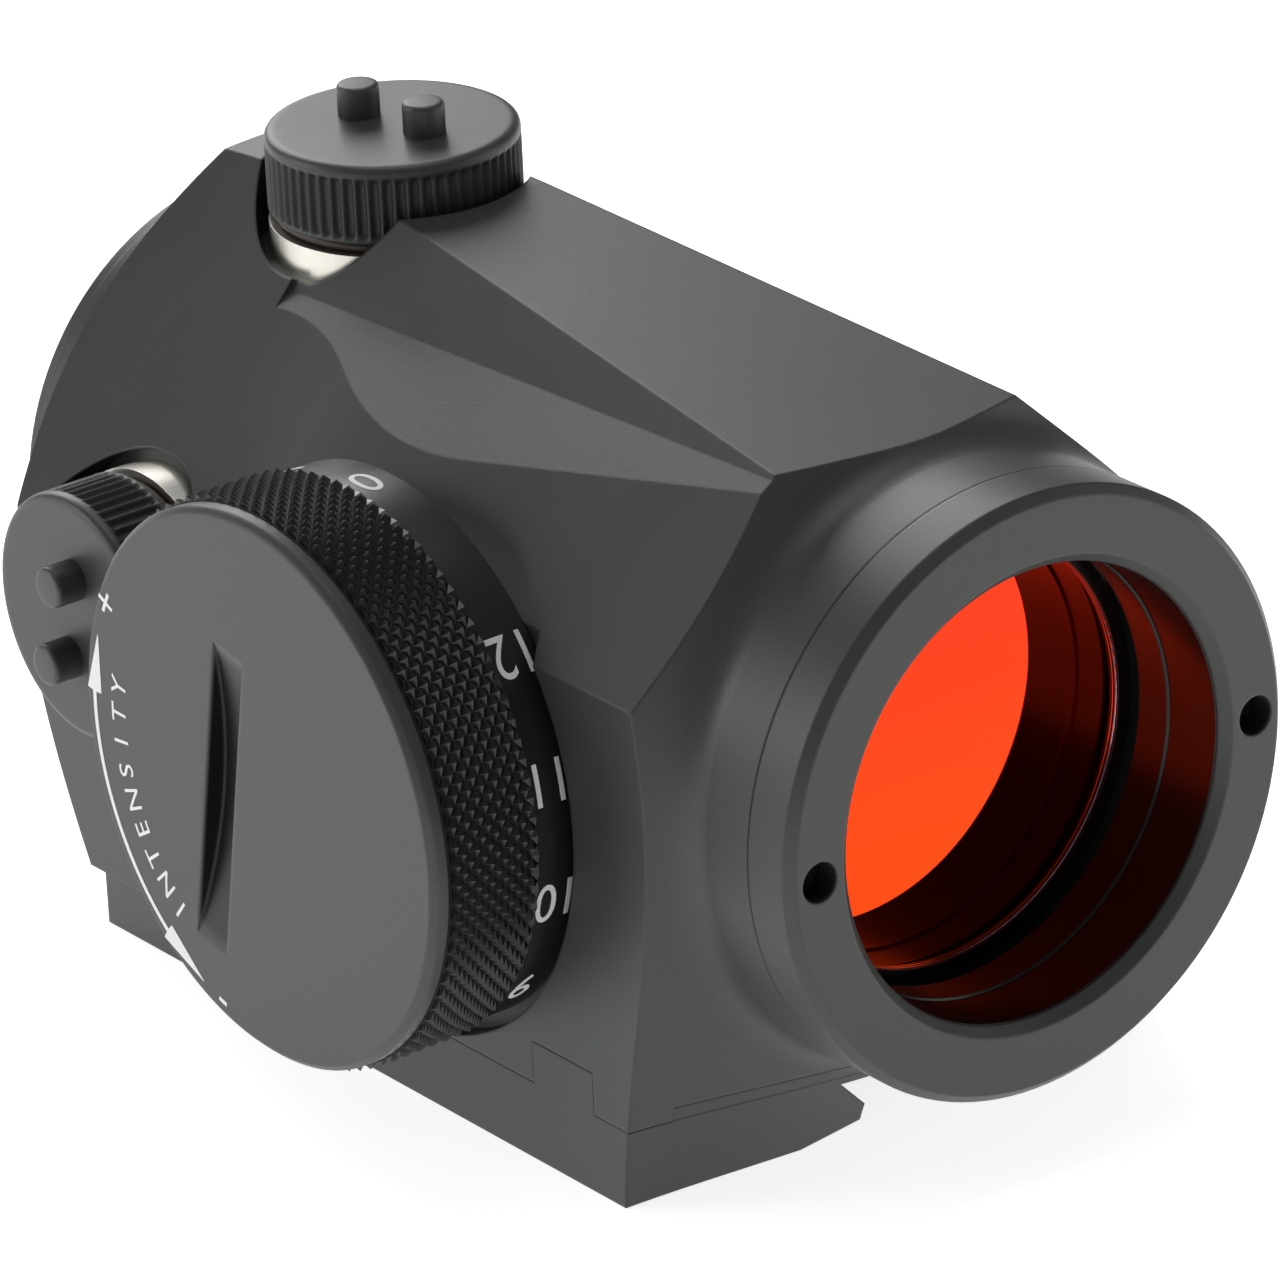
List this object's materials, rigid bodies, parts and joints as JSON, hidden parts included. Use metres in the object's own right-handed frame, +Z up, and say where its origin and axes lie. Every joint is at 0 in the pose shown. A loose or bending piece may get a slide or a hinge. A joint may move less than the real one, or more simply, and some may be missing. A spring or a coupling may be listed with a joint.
{
  "type": "compact tube red dot sight",
  "caption": "Compact closed red dot sight: squared housing, round front lens ring, capped elevation and windage adjusters, side brightness knob with battery cap, dovetail rail clamp.",
  "frame": {"origin": "middle of the rail seat, the flat face that rests on top of the dovetail rail, under the middle of the clamp", "axes": "+Y along the optical axis from the front lens towards the user's eye, +X to the user's right, +Z up"},
  "size_m": [0.0421, 0.0619, 0.0413],
  "materials": {
    "anodised": "matt bead-blasted dark grey anodised",
    "black_anodised": "satin black anodised",
    "tube_black": "matt black anodised inside",
    "nickel": "nickel plated, turned",
    "steel": "ground steel",
    "black_steel": "black oxide",
    "spring_steel": "blued spring steel",
    "seal_rubber": "dark brown-black",
    "coated_lens": "orange mirror coating",
    "clear_glass": "polished",
    "contact_gold": "gold plated",
    "board": "green laminate",
    "diode": "clear red",
    "battery_can": "drawn steel can"
  },
  "bodies": {
    "housing": {"housing": "anodised", "front_ring": "anodised", "front_seal": "seal_rubber", "rear_window": "clear_glass", "rear_seal": "seal_rubber", "rear_ring": "anodised", "mount_base": "anodised", "base_screw_1": "black_steel", "base_screw_2": "black_steel", "base_screw_3": "black_steel", "base_screw_4": "black_steel", "clamp_guide_pin_front": "steel", "clamp_guide_pin_rear": "steel", "tube_spring": "spring_steel", "elevation_insert": "nickel", "windage_insert": "nickel", "knob_spindle": "steel", "knob_clip": "spring_steel", "switch_board": "board", "detent_ball": "steel", "detent_spring": "spring_steel"},
    "gimbal": {"gimbal_ring": "steel", "gimbal_yaw_pin_top": "steel", "gimbal_yaw_pin_bottom": "steel"},
    "tube": {"inner_tube": "tube_black", "objective_front_lens": "coated_lens", "objective_rear_lens": "clear_glass", "lens_retainer": "tube_black", "emitter_block": "tube_black", "emitter_diode": "diode", "gimbal_pitch_pin_left": "steel", "gimbal_pitch_pin_right": "steel"},
    "elevation_adjuster": {"elevation_adjuster": "nickel"},
    "elevation_plunger": {"elevation_plunger": "steel"},
    "windage_adjuster": {"windage_adjuster": "nickel"},
    "windage_plunger": {"windage_plunger": "steel"},
    "elevation_cap_lift": {"elevation_cap_seal": "seal_rubber"},
    "elevation_cap": {"elevation_cap": "anodised", "elevation_cap_pin_1": "anodised", "elevation_cap_pin_2": "anodised"},
    "windage_cap_lift": {"windage_cap_seal": "seal_rubber"},
    "windage_cap": {"windage_cap": "anodised", "windage_cap_pin_1": "anodised", "windage_cap_pin_2": "anodised"},
    "knob": {"intensity_knob": "black_anodised", "contact_wiper": "contact_gold", "battery_contact": "contact_gold"},
    "battery_lift": {"battery": "battery_can", "battery_cap_seal": "seal_rubber"},
    "battery_cap": {"battery_cap": "anodised"},
    "clamp_screw": {"clamp_screw": "black_steel", "clamp_screw_clip": "spring_steel"},
    "clamp_jaw": {"clamp_jaw": "anodised"}
  },
  "joints": [
    {"name": "intensity_turn", "type": "hinge", "parent": "housing", "child": "knob", "pos_m": [0, -0.0027, 0.0145], "axis": [1, 0, 0], "range_deg": [0, 308.57]},
    {"name": "battery_cap_rise", "type": "slide", "parent": "knob", "child": "battery_lift", "axis": [-1, 0, 0], "range_m": [0, 0.00251]},
    {"name": "battery_cap_turn", "type": "hinge", "parent": "battery_lift", "child": "battery_cap", "pos_m": [0, -0.0027, 0.0145], "axis": [-1, 0, 0], "range_deg": [0, 900]},
    {"name": "elevation_cap_rise", "type": "slide", "parent": "housing", "child": "elevation_cap_lift", "axis": [0, 0, 1], "range_m": [0, 0.00225]},
    {"name": "elevation_cap_turn", "type": "hinge", "parent": "elevation_cap_lift", "child": "elevation_cap", "pos_m": [0, 0.017, 0.016], "axis": [0, 0, 1], "range_deg": [0, 1081]},
    {"name": "windage_cap_rise", "type": "slide", "parent": "housing", "child": "windage_cap_lift", "axis": [-1, 0, 0], "range_m": [0, 0.00225]},
    {"name": "windage_cap_turn", "type": "hinge", "parent": "windage_cap_lift", "child": "windage_cap", "pos_m": [0, 0.0179, 0.0155], "axis": [-1, 0, 0], "range_deg": [0, 1081]},
    {"name": "elevation_adjust", "type": "hinge", "parent": "housing", "child": "elevation_adjuster", "pos_m": [0, 0.017, 0.016], "axis": [0, 0, 1], "range_deg": [-577, 577]},
    {"name": "elevation_plunge", "type": "slide", "parent": "housing", "child": "elevation_plunger", "axis": [0, 0, 1], "range_m": [-0.00041, 0.00041]},
    {"name": "windage_adjust", "type": "hinge", "parent": "housing", "child": "windage_adjuster", "pos_m": [0, 0.0179, 0.0155], "axis": [-1, 0, 0], "range_deg": [-577, 577]},
    {"name": "windage_plunge", "type": "slide", "parent": "housing", "child": "windage_plunger", "axis": [-1, 0, 0], "range_m": [-0.00041, 0.00041]},
    {"name": "tube_yaw", "type": "hinge", "parent": "housing", "child": "gimbal", "pos_m": [0, -0.021, 0.016], "axis": [0, 0, 1], "range_deg": [-0.59, 0.59]},
    {"name": "tube_pitch", "type": "hinge", "parent": "gimbal", "child": "tube", "pos_m": [0, -0.021, 0.016], "axis": [1, 0, 0], "range_deg": [-0.6, 0.6]},
    {"name": "clamp_screw_turn", "type": "hinge", "parent": "housing", "child": "clamp_screw", "pos_m": [0, 0.0005, -0.00155], "axis": [1, 0, 0], "range_deg": [0, 1601]},
    {"name": "clamp_jaw_slide", "type": "slide", "parent": "housing", "child": "clamp_jaw", "axis": [1, 0, 0], "range_m": [0, 0.002]}
  ],
  "couplings": [
    {"joint": "battery_cap_rise", "follows": "battery_cap_turn", "m_per_rad": 0.00015915},
    {"joint": "elevation_cap_turn", "follows": "elevation_cap_rise", "rad_per_m": 8377.6},
    {"joint": "windage_cap_turn", "follows": "windage_cap_rise", "rad_per_m": 8377.6},
    {"joint": "elevation_adjust", "follows": "tube_pitch", "ratio": 955.04},
    {"joint": "elevation_plunge", "follows": "tube_pitch", "m_per_rad": 0.038},
    {"joint": "windage_adjust", "follows": "tube_yaw", "ratio": 977.66},
    {"joint": "windage_plunge", "follows": "tube_yaw", "m_per_rad": 0.0389},
    {"joint": "clamp_screw_turn", "follows": "clamp_jaw_slide", "rad_per_m": 13963}
  ]
}
